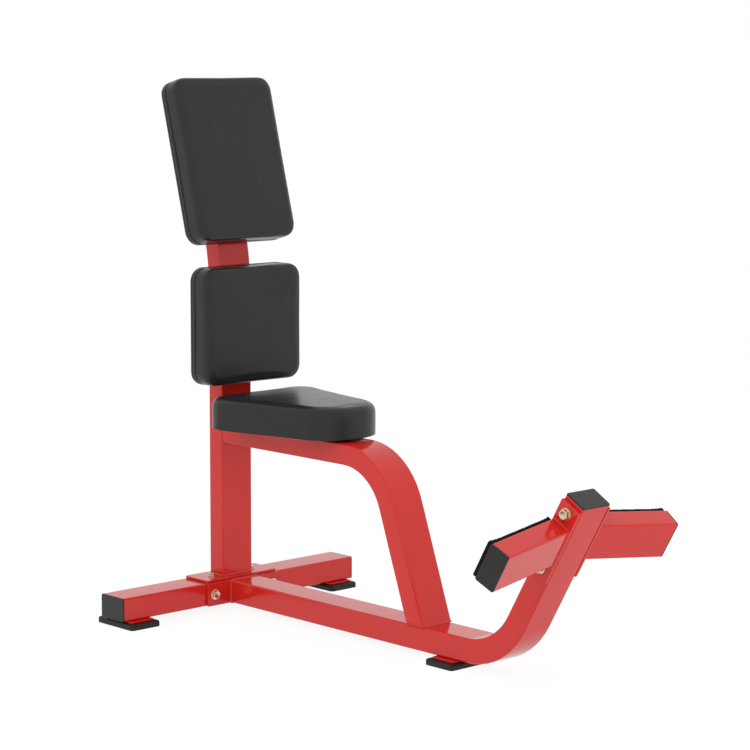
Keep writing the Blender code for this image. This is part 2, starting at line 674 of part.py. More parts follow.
# Footrest
def footrest(upright, top, heading):
    """Cap, side plates, through bolts and the two splayed pegs with their grips."""
    turn = turned_by(pi / 2 - BEAM_BEND_ANGLE, "X")
    cap_seat = top + heading * GAP
    end_cap("upright_cap", BASE_TUBE_WIDTH, BASE_TUBE_DEPTH, Matrix.Translation(cap_seat) @ turn)
    crown = cap_seat + heading * CAP_FLANGE
    forward = turn.to_3x3() @ -Y_AXIS
    inner = BASE_TUBE_WIDTH / 2 + GAP
    outer = inner + PEG_PLATE + GAP
    outline = rectangle_corners(PEG_PLATE_LENGTH, BASE_TUBE_DEPTH, PEG_PLATE_CORNER)
    plate_middle = crown - heading * (PEG_PLATE_START + PEG_PLATE_LENGTH / 2)
    plates = []
    for side, word in SIDES:
        flat = Matrix.Translation(plate_middle + X_AXIS * side * inner) @ turn
        flat = flat @ turned_by(side * pi / 2, "Y")
        plates.append(plate(f"peg_plate_{word}", outline, PEG_PLATE, flat, FINISHES["red"]))
        peg(side, word, crown - heading * PEG_MIDDLE + X_AXIS * side * outer, heading, forward)
    holes = []
    for end, word in ((1, "upper"), (-1, "lower")):
        middle = crown - heading * (PEG_BOLT_MIDDLE - end * PEG_BOLT_SPACING / 2)
        holes.append((middle - X_AXIS * THROUGH_BORE / 2, X_AXIS, M12["shank"] + BOLT_PLAY, THROUGH_BORE))
        hex_bolt(f"peg_bolt_{word}", M12, PEG_BOLT_LENGTH, middle - X_AXIS * outer, X_AXIS)
        hex_nut(f"peg_nut_{word}", M12, middle + X_AXIS * outer, X_AXIS)
    drill("peg_bolt_drill", holes, plates + [upright])


def peg(side, word, root, heading, forward):
    """Rectangular foot peg, mitred to its plate, with an end cap and a rubber grip."""
    out = (X_AXIS * side * cos(PEG_SPLAY) + forward * sin(PEG_SPLAY)).normalized()
    back = (X_AXIS * side * sin(PEG_SPLAY) - forward * cos(PEG_SPLAY)).normalized()
    length = PEG_LENGTH - CAP_FLANGE - GAP
    sideways = out.cross(heading)
    frame = Matrix.Translation(root) @ Matrix((sideways, out, heading)).transposed().to_4x4()
    bm = bmesh.new()
    loops = section_rings(bm, FRAME_TUBE_DEPTH, FRAME_TUBE_WIDTH, along=length)
    near = [
        pull_out(bm, loop, lambda vert: Y_AXIS * ((root.x - (frame @ vert.co).x) / out.x))
        for loop in loops
    ]
    join(bm, *loops, Y_AXIS)
    join(bm, *near, frame.to_3x3().inverted() @ X_AXIS)
    place(f"foot_peg_{word}", bm, frame, FINISHES["red"])
    cap_turn = frame @ at(0, length + GAP, 0) @ turned_by(-pi / 2, "X")
    end_cap(f"foot_peg_cap_{word}", FRAME_TUBE_DEPTH, FRAME_TUBE_WIDTH, cap_turn)
    middle = root + out * (GRIP_START + length) / 2 + back * (FRAME_TUBE_DEPTH / 2 + GAP)
    grip_turn = Matrix((heading, back.cross(heading), back)).transposed().to_4x4()
    corners = rectangle_corners(GRIP_WIDTH, length - GRIP_START, GRIP_CORNER)
    flat = Matrix.Translation(middle) @ grip_turn
    plate(f"peg_grip_{word}", corners, GRIP_THICKNESS, flat, FINISHES["rubber"], GRIP_EDGE)


def build_bench():
    beam = rear_beam()
    upright, top, heading = base_beam()
    foot("rear_right", Vector((-REAR_FOOT_X, 0, 0)), False, beam)
    foot("rear_left", Vector((REAR_FOOT_X, 0, 0)), False, beam)
    foot("front", Vector((0, FRONT_FOOT_Y, 0)), True, upright)
    beam_joint(beam)
    post_joint(beam)
    post()
    seat_tube()
    back_pads()
    seat()
    footrest(upright, top, heading)


clear_scene()
CARRIER = bpy.data.objects.new("bench", None)
CARRIER.location = (0, REAR_BEAM_Y, 0)
bpy.context.scene.collection.objects.link(CARRIER)
FINISHES = {
    "red": red_enamel(),
    "vinyl": black_vinyl(),
    "plastic": black_plastic(),
    "rubber": black_rubber(),
    "zinc": zinc_plate(),
}
build_bench()
bpy.context.view_layer.update()
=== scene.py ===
"""Finishes, upholstery, welds and fasteners of the utility bench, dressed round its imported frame."""

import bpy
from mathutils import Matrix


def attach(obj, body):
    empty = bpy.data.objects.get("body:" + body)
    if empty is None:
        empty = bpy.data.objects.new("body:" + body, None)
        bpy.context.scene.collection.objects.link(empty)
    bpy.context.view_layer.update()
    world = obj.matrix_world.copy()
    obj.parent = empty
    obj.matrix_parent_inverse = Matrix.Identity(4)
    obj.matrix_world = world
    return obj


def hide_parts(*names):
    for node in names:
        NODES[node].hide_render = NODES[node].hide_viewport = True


bl_info = {
    "name": "Utility bench dressing",
    "version": (1, 0, 0),
    "blender": (4, 5, 0),
    "location": "3D View > Sidebar > Bench",
    "description": "Enamel, vinyl upholstery, welds, fasteners and a studio for a seated utility bench",
    "category": "Object",
}

from math import atan2, cos, pi, radians, sin

import bmesh
import bpy
from mathutils import Matrix, Vector

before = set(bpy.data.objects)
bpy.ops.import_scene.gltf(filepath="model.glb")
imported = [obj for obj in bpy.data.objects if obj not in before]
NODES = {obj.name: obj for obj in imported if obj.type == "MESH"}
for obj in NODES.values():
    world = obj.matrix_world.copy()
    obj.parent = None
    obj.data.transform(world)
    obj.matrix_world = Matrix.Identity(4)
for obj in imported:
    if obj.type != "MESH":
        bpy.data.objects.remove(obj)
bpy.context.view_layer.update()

BODY = "root"
MM = 0.001
MM_IN_METRE = 1000.0

# How close points of a mesh are to count as one point, as lying on one face, and as lying on a cut
ONE_POINT = 0.01 * MM
ONE_FACE = 0.02 * MM
ON_CUT = 0.001 * MM

# How much of a direction may lie along Y before what is square to it is measured from X instead
MOSTLY_ALONG = 0.9

# Shares of red, green and blue that are left in the cooler clouds of the zinc
COOLER_ZINC = (0.92, 0.97, 1.12)

# Tubes that show whole, and the angle past which one of their edges is a corner
SHOWN_TUBES = ("back_post", "base_beam", "seat_tube", "rear_cross_beam")
TUBE_CORNER = 35

# Cushions: frames of filling, the shares of a roll at which its curve is drawn, the share of a crease that
# is full depth, and the heights over the board of the lines round the seat
FILLING_FRAMES = 20
ROLL_SHARES = (1.0, 0.62, 0.3, 0.08)
CREASE_WALL = 0.9
SEAT_LINES = (-3 * MM, 7 * MM)

# Backs of the boards: a staple's crown, its rounding and how proud it stands, the dust cloth's thickness
# and the share of it that it stands off, and the most edges that a screw hole's rim has in the CAD mesh
STAPLE_CROWN = (10 * MM, 1.2 * MM, 0.7 * MM)
STAPLE_ROUNDING = 0.25 * MM
STAPLE_RISE = 0.1 * MM
DUST_CLOTH = 0.2 * MM
CLOTH_LIFT = 0.25
SCREW_HOLE_EDGES = 16

# Fasteners in millimetres: half of the head across flats, head height, washer radius and thickness,
# shank radius
M12 = (9.5, 8.0, 12.5, 2.5, 6.0)
M10 = (8.5, 6.4, 11.5, 2.0, 5.0)
M8 = (6.5, 4.5, 8.5, 1.2, 4.0)
LOW_M8 = (6.5, 2.8, 8.5, 1.2, 4.0)
M8_STACK = M8[1] + M8[3]

# Profile of a hexagon head, from the washer up. Each row is a width in shares of the flats', a height in
# millimetres over the foot or the top, whether the row is a hexagon, and how its corners are trimmed
HEAD_FOOT = ((0.93, 0.0, False, 0), (0.93, 0.3, False, 0), (1.0, 0.4, True, -0.35))
HEAD_TOP = ((1.0, -0.35, True, 0.58), (0.95, 0.0, False, 0))
HEAD_DISH = ((0.72, 0.0, False, 0), (0.62, -0.4, False, 0))
RING_POINTS = 24

# Threads and tip of a shank, in shares of its radius, the most rows drawn on one, past which it is plain,
# and the rounding of a washer's edge
THREAD_ROWS = 60
THREAD_PITCH = 0.28
THREAD_ROOT = 0.86
TIP_WIDTH = 0.72
TIP_HEIGHTS = (0.12, 0.3)
WASHER_ROLL = 0.35
LARGEST_WASHER_ROLL = 0.6 * MM
WASHER_SHOULDER = 0.3

# Fillet of a weld bead: how far out from the tube and how far along it, in leg lengths. The tube's outline
# is taken a little way up from its end
WELD_SECTION = ((-0.15, 0.0), (-0.15, 1.0), (0.12, 0.95), (0.42, 0.6), (0.75, 0.4), (1.0, 0.1), (1.0, 0.0))
WELD_CUT = 0.2 * MM

# One groove across a grip: places along it in shares of the spacing, each with its share of the depth.
# Only points this near the grip's face are pressed in
GROOVE = ((-0.16, 0), (-0.08, 1), (0.08, 1), (0.16, 0))
GRIP_FACE = 3 * MM

# Studio: name, place, target, size and watts of each softbox, and how the floor shows to the camera
SOFTBOXES = (
    ("key_softbox", (-3.0, -1.6, 3.0), (0, 0, 0.5), 2.4, 45),
    ("fill_softbox", (1.0, -3.4, 1.0), (0, 0, 0.4), 2.0, 13),
)
WHITE = (1, 1, 1, 1)
FLOOR_PAINT = (0.94, 0.94, 0.94, 1)
FLOOR_GLOW = 1.05
FLOOR_GLOW_SHARE = 0.86
FLOOR_SIDES = 96
SENSOR_WIDTH = 36


# Colours
def linear(hex_code):
    """Linear colour of an sRGB hex code such as c8281e."""
    values = []
    for start in (0, 2, 4):
        value = int(hex_code[start:start + 2], 16) / 255
        values.append(value / 12.92 if value <= 0.04045 else ((value + 0.055) / 1.055) ** 2.4)
    return tuple(values)


def scaled(color, share):
    """A lighter or darker shade of a colour."""
    return tuple(share * value for value in color)


# Settings that a user would change
class BenchFinish(bpy.types.PropertyGroup):
    enamel: bpy.props.FloatVectorProperty(
        name="Enamel", description="Red of the baked enamel on the steel",
        subtype="COLOR", min=0, max=1, default=linear("cf241d"))
    vinyl: bpy.props.FloatVectorProperty(
        name="Vinyl", description="Black of the upholstery vinyl",
        subtype="COLOR", min=0, max=1, default=linear("1e1e1f"))
    plastic: bpy.props.FloatVectorProperty(
        name="Plastic", description="Black of the moulded end caps",
        subtype="COLOR", min=0, max=1, default=linear("0f0f0f"))
    rubber: bpy.props.FloatVectorProperty(
        name="Rubber", description="Black of the rubber feet",
        subtype="COLOR", min=0, max=1, default=linear("111110"))
    foam: bpy.props.FloatVectorProperty(
        name="Grip foam", description="Black of the foam grips on the pegs",
        subtype="COLOR", min=0, max=1, default=linear("0a0a0a"))
    dust_cloth: bpy.props.FloatVectorProperty(
        name="Dust cloth", description="Black of the cloth over the backs of the boards",
        subtype="COLOR", min=0, max=1, default=linear("161616"))
    zinc: bpy.props.FloatVectorProperty(
        name="Zinc", description="Warm tint of the passivated zinc on the fasteners",
        subtype="COLOR", min=0, max=1, default=linear("e2cfae"))
    weld: bpy.props.FloatProperty(
        name="Weld", description="Leg length of the fillet beads at the tube ends",
        unit="LENGTH", min=0.0005, default=0.0022)
    tread: bpy.props.FloatProperty(
        name="Tread", description="Spacing of the grooves across the peg grips",
        unit="LENGTH", min=0.002, default=0.010)
    tread_depth: bpy.props.FloatProperty(
        name="Tread depth", description="Depth of the grooves across the peg grips",
        unit="LENGTH", min=0, default=0.0007)


class BenchUpholstery(bpy.types.PropertyGroup):
    voxel: bpy.props.FloatProperty(
        name="Voxel", description="Mesh spacing of a cushion while it is inflated",
        unit="LENGTH", min=0.002, default=0.0045)
    pressure: bpy.props.FloatProperty(
        name="Pressure", description="Foam pressure that fills the cover", min=0, default=4.0)
    swell: bpy.props.FloatProperty(
        name="Swell", description="Furthest that the cover may move while it fills",
        unit="LENGTH", min=0, default=0.0016)
    ironing: bpy.props.IntProperty(
        name="Ironing", description="Rounds of smoothing that take the folds out of the filled cover",
        min=0, default=40)
    hold: bpy.props.FloatProperty(
        name="Hold", description="How far up from the board a cushion's side is drawn straight",
        unit="LENGTH", min=0.001, default=0.014)
    slack: bpy.props.FloatProperty(
        name="Slack", description="How much smaller than the finished pad the cover starts",
        unit="LENGTH", min=0, default=0.0002)
    back_roll: bpy.props.FloatProperty(
        name="Back roll", description="Radius at which the back cushions' covers roll in at the board",
        unit="LENGTH", min=0, default=0.0030)
    back_crease: bpy.props.FloatProperty(
        name="Back crease", description="Width of the crease that is left open above a back board",
        unit="LENGTH", min=0, default=0.0012)
    back_tuck: bpy.props.FloatProperty(
        name="Back tuck", description="Depth of the crease between a back cushion and its board",
        unit="LENGTH", min=0, default=0.0070)
    seat_roll: bpy.props.FloatProperty(
        name="Seat roll", description="Radius at which the seat's cover rolls under its board",
        unit="LENGTH", min=0, default=0.0028)
    seam_width: bpy.props.FloatProperty(
        name="Seam width", description="Width of a line pressed round a cover",
        unit="LENGTH", min=0, default=0.0016)
    seam_depth: bpy.props.FloatProperty(
        name="Seam depth", description="Depth of a line pressed round a cover",
        unit="LENGTH", min=0, default=0.0006)
    hem: bpy.props.FloatProperty(
        name="Hem", description="How far a cover reaches in over the back of its board",
        unit="LENGTH", min=0.005, default=0.018)
    staple_inset: bpy.props.FloatProperty(
        name="Staple inset", description="How far in from the rim the staples stand",
        unit="LENGTH", min=0.002, default=0.009)
    staple_spacing: bpy.props.FloatProperty(
        name="Staple spacing", description="Distance from staple to staple",
        unit="LENGTH", min=0.012, default=0.024)


class BenchStage(bpy.types.PropertyGroup):
    camera_place: bpy.props.FloatVectorProperty(
        name="Camera place", description="Where the camera stands",
        subtype="TRANSLATION", default=(-3.36023, -3.58282, 1.20599))
    camera_turn: bpy.props.FloatVectorProperty(
        name="Camera turn", description="How the camera is turned, in order X, Y, Z",
        subtype="EULER", default=(radians(82.42), radians(-0.1388), radians(-42.9615)))
    lens: bpy.props.FloatProperty(
        name="Lens", description="Focal length on a 36 mm wide sensor",
        unit="CAMERA", default=118.068)
    floor_radius: bpy.props.FloatProperty(
        name="Floor radius", description="Radius of the pale round floor",
        unit="LENGTH", default=9.0)
    sky_light: bpy.props.FloatProperty(
        name="Sky light", description="Strength of the white surroundings on matt surfaces",
        min=0, default=0.8)


# Node trees
def add(tree, kind, settings=None, inputs=None):
    """Adds a node, sets its properties, and gives its inputs values or links them to sockets."""
    node = tree.nodes.new(kind)
    for key, value in (settings or {}).items():
        setattr(node, key, value)
    for key, value in (inputs or {}).items():
        if isinstance(value, bpy.types.NodeSocket):
            tree.links.new(value, node.inputs[key])
        else:
            node.inputs[key].default_value = value
    return node


def blank_material(name, color):
    """A material with only its output, a Principled shader and the object's coordinates."""
    made = bpy.data.materials.new(name)
    made.use_nodes = True
    made.diffuse_color = (*color, 1.0)
    tree = made.node_tree
    tree.nodes.clear()
    shader = add(tree, "ShaderNodeBsdfPrincipled")
    add(tree, "ShaderNodeOutputMaterial", inputs={"Surface": shader.outputs["BSDF"]})
    place = add(tree, "ShaderNodeTexCoord").outputs["Object"]
    return made, tree, shader, place


def pattern(tree, place, size_mm, detail=2.0, low=0.0, high=1.0, start=0.25, stop=0.75):
    """Soft cloudy pattern from low to high with features of about size_mm, harder as start nears stop."""
    cloud = add(tree, "ShaderNodeTexNoise", inputs={
        "Vector": place, "Scale": MM_IN_METRE / size_mm, "Detail": detail, "Roughness": 0.5})
    return add(tree, "ShaderNodeMapRange", inputs={
        "Value": cloud.outputs["Fac"], "From Min": start, "From Max": stop,
        "To Min": low, "To Max": high}).outputs["Result"]


def two_tone(tree, shader, place, size_mm, color, other, **cloudiness):
    """Colours a shader in soft patches of two tones, each of about size_mm."""
    tint = add(tree, "ShaderNodeMix", {"data_type": "RGBA"}, {
        "Factor": pattern(tree, place, size_mm, **cloudiness), "A": (*color, 1.0), "B": (*other, 1.0)})
    tree.links.new(tint.outputs["Result"], shader.inputs["Base Color"])


def grained(tree, shader, place, grain_mm, depth_mm, strength, detail=2.0):
    """Presses a grain of a size and depth in millimetres into a shader's surface."""
    grain = add(tree, "ShaderNodeTexNoise", inputs={
        "Vector": place, "Scale": MM_IN_METRE / grain_mm, "Detail": detail, "Roughness": 0.5})
    pressed = add(tree, "ShaderNodeBump", inputs={
        "Height": grain.outputs["Fac"], "Strength": strength, "Distance": depth_mm * MM})
    tree.links.new(pressed.outputs["Normal"], shader.inputs["Normal"])


# Materials
def gloss_red_enamel(color):
    """Baked polyester enamel sprayed on steel: a hard wet gloss over a faint orange peel."""
    made, tree, shader, place = blank_material("gloss_red_enamel", color)
    shader.inputs["IOR"].default_value = 1.45
    two_tone(tree, shader, place, 120, color, scaled(color, 0.94))
    tree.links.new(pattern(tree, place, 35, low=0.10, high=0.16), shader.inputs["Roughness"])
    grained(tree, shader, place, grain_mm=3.5, depth_mm=0.02, strength=0.25, detail=1.0)
    return made


def embossed_vinyl(color):
    """Calendered upholstery vinyl with a fine leather grain: satin in front, mirror-like when grazed.
    The real grain is under 1 mm and is drawn at 1.1 mm so that it shows."""
    made, tree, shader, place = blank_material("embossed_vinyl", color)
    shader.inputs["IOR"].default_value = 1.38
    two_tone(tree, shader, place, 60, color, scaled(color, 1.25))
    tree.links.new(pattern(tree, place, 18, low=0.27, high=0.33), shader.inputs["Roughness"])
    grained(tree, shader, place, grain_mm=1.1, depth_mm=0.02, strength=0.1, detail=1.0)
    return made


def moulded_plastic(color):
    """Injection-moulded polyethylene caps: an even satin black, from the mould's light spark texture.
    The real texture is about 0.1 mm and is drawn at 0.7 mm so that it shows."""
    made, tree, shader, place = blank_material("moulded_plastic", color)
    shader.inputs["IOR"].default_value = 1.44
    shader.inputs["Base Color"].default_value = (*color, 1.0)
    tree.links.new(pattern(tree, place, 9, low=0.28, high=0.40), shader.inputs["Roughness"])
    grained(tree, shader, place, grain_mm=0.7, depth_mm=0.02, strength=0.4)
    return made


def moulded_rubber(color):
    """Compression-moulded rubber: matt, with a dusty bloom on its flat faces.
    The real grain is about 0.3 mm and is drawn at 0.9 mm so that it shows."""
    made, tree, shader, place = blank_material("moulded_rubber", color)
    shader.inputs["IOR"].default_value = 1.4
    two_tone(tree, shader, place, 14, color, scaled(color, 1.5), detail=4.0)
    tree.links.new(pattern(tree, place, 10, low=0.45, high=0.60), shader.inputs["Roughness"])
    grained(tree, shader, place, grain_mm=0.9, depth_mm=0.03, strength=0.4, detail=3.0)
    return made


def passivated_zinc(color):
    """Zinc plating with a yellow passivation: warm, slightly cloudy metal."""
    made, tree, shader, place = blank_material("passivated_zinc", color)
    shader.inputs["Metallic"].default_value = 1.0
    cooler = tuple(value * share for value, share in zip(color, COOLER_ZINC))
    two_tone(tree, shader, place, 5, color, cooler)
    tree.links.new(pattern(tree, place, 2.5, low=0.18, high=0.32), shader.inputs["Roughness"])
    return made


def nitrile_foam(color):
    """Closed-cell nitrile foam of the peg grips: a dull, almost light-tight black.
    The real cells are about 0.4 mm and are drawn at 1.2 mm so that they show."""
    made, tree, shader, place = blank_material("nitrile_foam", color)
    shader.inputs["IOR"].default_value = 1.25
    two_tone(tree, shader, place, 8, color, scaled(color, 1.6), detail=4.0)
    tree.links.new(pattern(tree, place, 6, low=0.75, high=0.90), shader.inputs["Roughness"])
    grained(tree, shader, place, grain_mm=1.2, depth_mm=0.05, strength=0.5, detail=3.0)
    return made


def dust_cloth(color):
    """Spun-bonded polypropylene under the boards: thin, fibrous and quite matt.
    The real fibres are finer than a hair and are drawn at 0.8 mm so that they show."""
    made, tree, shader, place = blank_material("dust_cloth", color)
    shader.inputs["IOR"].default_value = 1.3
    two_tone(tree, shader, place, 0.8, color, scaled(color, 1.9), detail=4.0, start=0.4, stop=0.6)
    tree.links.new(pattern(tree, place, 6, low=0.80, high=0.92), shader.inputs["Roughness"])
    grained(tree, shader, place, grain_mm=0.8, depth_mm=0.08, strength=0.5, detail=4.0)
    return made


# Each finish: the function that makes its material, and the record's slot that it belongs to
FINISHES = {
    "enamel": (gloss_red_enamel, "red_enamel"),
    "vinyl": (embossed_vinyl, "vinyl"),
    "plastic": (moulded_plastic, "black_plastic"),
    "rubber": (moulded_rubber, "black_rubber"),
    "foam": (nitrile_foam, "black_rubber"),
    "dust_cloth": (dust_cloth, "board_cover"),
    "zinc": (passivated_zinc, "zinc"),
}

# Which finish a node of the frame has, by the words in its name. All other nodes are enamelled
FINISH_WORDS = (
    (("cushion", "board"), "vinyl"),
    (("cap",), "plastic"),
    (("grip",), "foam"),
    (("rubber",), "rubber"),
    (("bolt", "nut", "screw"), "zinc"),
)


def finish(kind):
    """The material of one finish, made the first time that it is asked for."""
    maker = FINISHES[kind][0]
    made = bpy.data.materials.get(maker.__name__)
    if made is None:
        made = maker(tuple(getattr(bpy.context.scene.bench_finish, kind)))
    return made


def finish_of(node_name):
    """Which finish a node of the frame has, from its name."""
    for words, kind in FINISH_WORDS:
        if any(word in node_name for word in words):
            return kind
    return "enamel"


# Measuring the frame
def span(node_name, axis):
    """Lowest and highest reach of a node along a direction."""
    reaches = [axis.dot(vert.co) for vert in NODES[node_name].data.vertices]
    return min(reaches), max(reaches)


def facing(node_name):
    """Outward normal of a node's largest flat side."""
    sides = {}
    for face in NODES[node_name].data.polygons:
        key = tuple(round(value, 2) for value in face.normal)
        sides[key] = sides.get(key, Vector()) + face.normal * face.area
    return max(sides.values(), key=lambda side: side.length).normalized()


def top_placement(node_name, up):
    """Placement in the middle of a node's top, with its +Z along up."""
    across = Vector((0, 1, 0)) if abs(up.y) < MOSTLY_ALONG else Vector((1, 0, 0))
    side = (across - up * across.dot(up)).normalized()
    turn = Matrix((side, up.cross(side), up)).transposed()
    reach = [span(node_name, turn.col[index]) for index in range(3)]
    middle = Vector((sum(reach[0]) / 2, sum(reach[1]) / 2, reach[2][1]))
    return Matrix.Translation(turn @ middle) @ turn.to_4x4()


# Making pieces
def points_of(geometry):
    """Only the points among what a mesh operator returns."""
    return [item for item in geometry if isinstance(item, bmesh.types.BMVert)]


def edges_of(geometry):
    """Only the edges among what a mesh operator returns."""
    return [item for item in geometry if isinstance(item, bmesh.types.BMEdge)]


def whole(bm):
    """All points, edges and faces of a bmesh, as some operators want them."""
    return [*bm.verts, *bm.edges, *bm.faces]


def merged_mesh(node_name):
    """A node's triangles in a new bmesh, joined where they touch."""
    bm = bmesh.new()
    bm.from_mesh(NODES[node_name].data)
    bmesh.ops.remove_doubles(bm, verts=bm.verts, dist=ONE_POINT)
    return bm


def make_piece(name, bm, kind, stands_for=(), sharp=40):
    """Turns a bmesh into a finished piece that rides on the bench."""
    bmesh.ops.recalc_face_normals(bm, faces=bm.faces)
    mesh = bpy.data.meshes.new(name)
    bm.to_mesh(mesh)
    bm.free()
    mesh.materials.append(finish(kind))
    mesh.shade_smooth()
    mesh.set_sharp_from_angle(angle=radians(sharp))
    piece = bpy.data.objects.new(name, mesh)
    bpy.context.scene.collection.objects.link(piece)
    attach(piece, BODY)
    if stands_for:
        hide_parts(*stands_for)
    return piece


def bake_modifiers(piece):
    """Puts what a piece's modifiers do into its mesh."""
    graph = bpy.context.evaluated_depsgraph_get()
    baked = bpy.data.meshes.new_from_object(piece.evaluated_get(graph))
    piece.modifiers.clear()
    old = piece.data
    piece.data = baked
    bpy.data.meshes.remove(old)


class BENCH_OT_finish_frame(bpy.types.Operator):
    """Gives every piece of the frame its finish"""
    bl_idname = "bench.finish_frame"
    bl_label = "Finish the frame"

    def execute(self, context):
        for name, node in NODES.items():
            node.data.materials.clear()
            node.data.materials.append(finish(finish_of(name)))
        return {"FINISHED"}


class BENCH_OT_tubes(bpy.types.Operator):
    """Lets the gloss run evenly round the tubes' bends and rounded corners, with their sides flat"""
    bl_idname = "bench.tubes"
    bl_label = "Even out the tubes"

    def execute(self, context):
        for name in SHOWN_TUBES:
            tube = make_piece(
                f"{name}_enamelled", merged_mesh(name), "enamel", (name,), sharp=TUBE_CORNER)
            flat_sides = tube.modifiers.new("flat_sides", "WEIGHTED_NORMAL")
            flat_sides.keep_sharp = True
            bake_modifiers(tube)
        return {"FINISHED"}


# Cushions
def smooth(bm, rounds):
    """Evens out a mesh by moving each point halfway to the middle of its neighbours."""
    for _ in range(rounds):
        bmesh.ops.smooth_vert(
            bm, verts=bm.verts, factor=0.5, use_axis_x=True, use_axis_y=True, use_axis_z=True)


def cut_off_below(bm, up, level):
    """Cuts a solid across at a level, drops what is below and returns the open rim's edges."""
    return edges_of(bmesh.ops.bisect_plane(
        bm, geom=whole(bm), dist=ON_CUT, plane_co=up * level, plane_no=up, clear_inner=True)["geom_cut"])


def score_line(bm, up, level):
    """Cuts a line round a solid at a level and returns its points."""
    return points_of(bmesh.ops.bisect_plane(
        bm, geom=whole(bm), dist=ON_CUT, plane_co=up * level, plane_no=up)["geom_cut"])


def press_in(verts, up, depth):
    """Moves points of a side wall inwards by a depth."""
    for vert in verts:
        side = vert.normal - up * vert.normal.dot(up)
        vert.co -= side.normalized() * depth


def seam(bm, up, level, width, depth):
    """Presses a fine V-shaped line into a cover, all round at a level."""
    for offset in (-0.5, 0.5):
        score_line(bm, up, level + offset * width)
    verts = score_line(bm, up, level)
    bm.normal_update()
    press_in(verts, up, depth)


def rolled_foot(bm, up, level, radius, crease, depth):
    """Cuts a cover off at its foot and rolls its edge inwards, into a crease of a depth above the cut."""
    rows = []
    for share in ROLL_SHARES:
        inwards = (radius - crease) * (1 - (1 - (1 - share) ** 2) ** 0.5)
        rows.append((score_line(bm, up, level + crease + share * (radius - crease)), inwards))
    if crease:
        rows.append((score_line(bm, up, level + CREASE_WALL * crease), depth))
    rim = cut_off_below(bm, up, level)
    rows.append(({vert for edge in rim for vert in edge.verts}, depth))
    bm.normal_update()
    for verts, inwards in rows:
        press_in(verts, up, inwards)
    bmesh.ops.holes_fill(bm, edges=rim, sides=0)


def foam_mesh(cushion_node, up, board_level, foot_level, settings):
    """The cushion's solid with straight sides down past its foot, as an even grid of small faces."""
    piece = bpy.data.objects.new("foam", bpy.data.meshes.new("foam"))
    bm = merged_mesh(cushion_node)
    straight = board_level + settings.hold
    rim = cut_off_below(bm, up, straight)
    foot = points_of(bmesh.ops.extrude_edge_only(bm, edges=rim)["geom"])
    bmesh.ops.translate(bm, verts=foot, vec=-up * (straight - foot_level + 2 * settings.voxel))
    bmesh.ops.holes_fill(bm, edges=[edge for edge in bm.edges if edge.is_boundary], sides=0)
    bmesh.ops.recalc_face_normals(bm, faces=bm.faces)
    bm.to_mesh(piece.data)
    bm.free()
    bpy.context.scene.collection.objects.link(piece)
    remesh = piece.modifiers.new("even_grid", "REMESH")
    remesh.mode = "VOXEL"
    remesh.voxel_size = settings.voxel
    bake_modifiers(piece)
    bm = bmesh.new()
    bm.from_mesh(piece.data)
    smooth(bm, 1)
    bm.normal_update()
    for vert in bm.verts:
        vert.co -= vert.normal * settings.slack
    bm.to_mesh(piece.data)
    bm.free()
    return piece


def inflate(piece, up, held_level, settings):
    """Fills the cover with foam pressure, irons out its folds and takes up its slack."""
    slack_cover = bmesh.new()
    slack_cover.from_mesh(piece.data)
    slack_cover.normal_update()
    start = [(vert.co.copy(), vert.normal.copy()) for vert in slack_cover.verts]
    held = piece.vertex_groups.new(name="held_on_board")
    held.add([index for index, (co, _) in enumerate(start) if co.dot(up) < held_level], 1.0, "REPLACE")
    cloth = piece.modifiers.new("foam_pressure", "CLOTH")
    cloth.settings.use_pressure = True
    cloth.settings.uniform_pressure_force = settings.pressure
    cloth.settings.effector_weights.gravity = 0
    cloth.settings.vertex_group_mass = held.name
    cloth.point_cache.frame_start = 1
    cloth.point_cache.frame_end = FILLING_FRAMES
    for moment in range(1, FILLING_FRAMES + 1):
        bpy.context.scene.frame_set(moment)
    bake_modifiers(piece)
    bpy.context.scene.frame_set(1)
    filled_cover = bmesh.new()
    filled_cover.from_mesh(piece.data)
    smooth(slack_cover, settings.ironing)
    smooth(filled_cover, settings.ironing)
    for vert, filled, slack, (co, normal) in zip(
            piece.data.vertices, filled_cover.verts, slack_cover.verts, start):
        outwards = (filled.co - slack.co).dot(normal)
        vert.co = co + normal * (settings.slack + min(max(outwards, 0.0), settings.swell))
    slack_cover.free()
    filled_cover.free()
    piece.vertex_groups.clear()


def upholstered(cushion_node, foot_level, foot, settings):
    """The mesh of a filled cushion, finished at its foot with a roll's radius, crease and depth."""
    up = -facing(cushion_node)
    board_level = span(cushion_node, up)[0]
    foam = foam_mesh(cushion_node, up, board_level, foot_level, settings)
    inflate(foam, up, board_level + settings.voxel, settings)
    finer = foam.modifiers.new("finer", "SUBSURF")
    finer.levels = finer.render_levels = 1
    bake_modifiers(foam)
    bm = bmesh.new()
    bm.from_mesh(foam.data)
    bpy.data.objects.remove(foam, do_unlink=True)
    rolled_foot(bm, up, foot_level, *foot)
    return bm


def padded_piece(name, bm, stands_for):
    """Makes a filled cushion's mesh a smooth vinyl piece that stands for the given nodes."""
    piece = make_piece(name, bm, "vinyl", stands_for, sharp=180)


def back_face(board, away):
    """A board's flat back, with its screw holes closed, as the one face of a new bmesh."""
    bm = merged_mesh(board)
    top = span(board, away)[1]
    beside = [vert for vert in bm.verts if top - vert.co.dot(away) > ONE_FACE]
    bmesh.ops.delete(bm, geom=beside, context="VERTS")
    rims = [edge for edge in bm.edges if edge.is_boundary]
    bmesh.ops.holes_fill(bm, edges=rims, sides=SCREW_HOLE_EDGES)
    return bm, bmesh.ops.dissolve_faces(bm, faces=list(bm.faces), use_verts=True)["region"][0]


